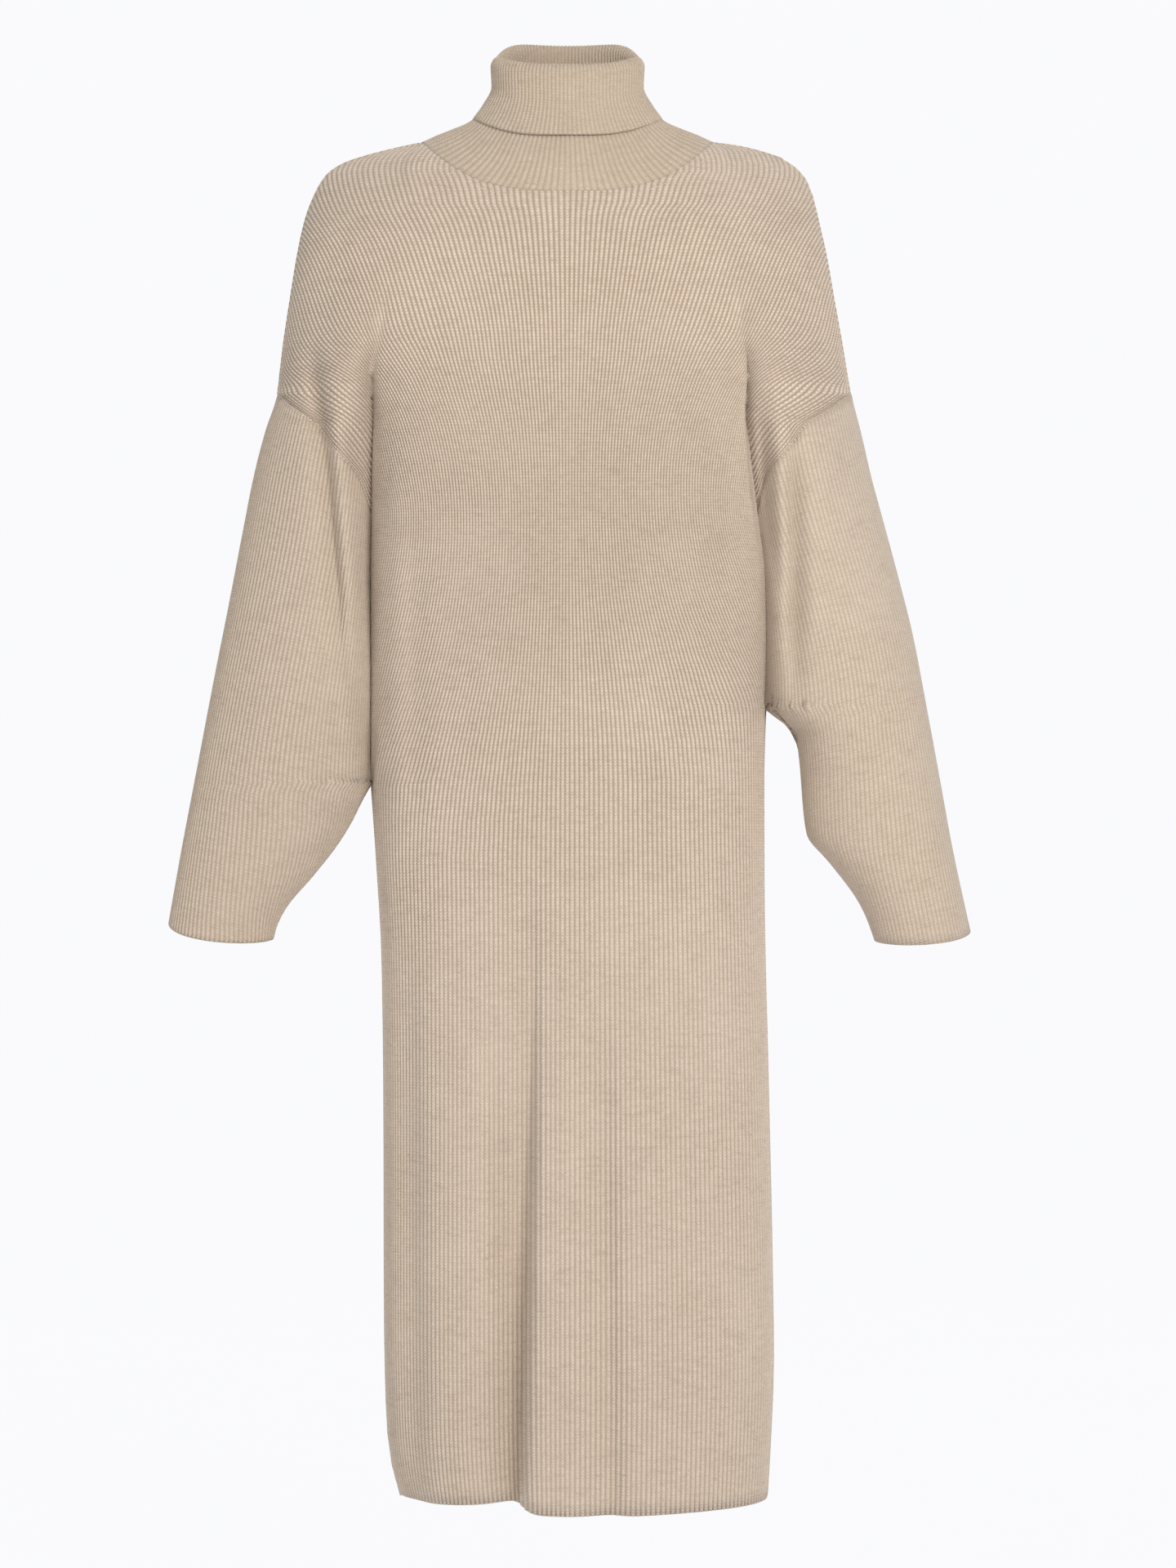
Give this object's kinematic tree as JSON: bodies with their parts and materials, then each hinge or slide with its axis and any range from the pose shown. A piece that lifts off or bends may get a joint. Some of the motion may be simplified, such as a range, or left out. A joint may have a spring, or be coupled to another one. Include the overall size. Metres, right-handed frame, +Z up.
{
  "type": "sweater dress, long, with a roll neck, worn form with no wearer",
  "caption": "Oversized rib-knit roll-neck sweater dress in oatmeal, with dropped shoulders and wide sleeves",
  "frame": {"origin": "Between the shoulders at the base of the neck, where the wearer holds the dress up", "axes": "+X to the wearer's left (the viewer's right), +Y to the back, +Z up; the front faces -Y"},
  "size_m": [0.6857, 0.2123, 1.2539],
  "materials": {
    "knit_body": "matt rib knit",
    "knit_sleeve": "matt rib knit",
    "knit_collar": "matt rib knit"
  },
  "bodies": {
    "root": {"front_panel": "knit_body", "back_panel": "knit_body", "sleeve_left": "knit_sleeve", "sleeve_right": "knit_sleeve", "roll_collar": "knit_collar"}
  },
  "joints": []
}
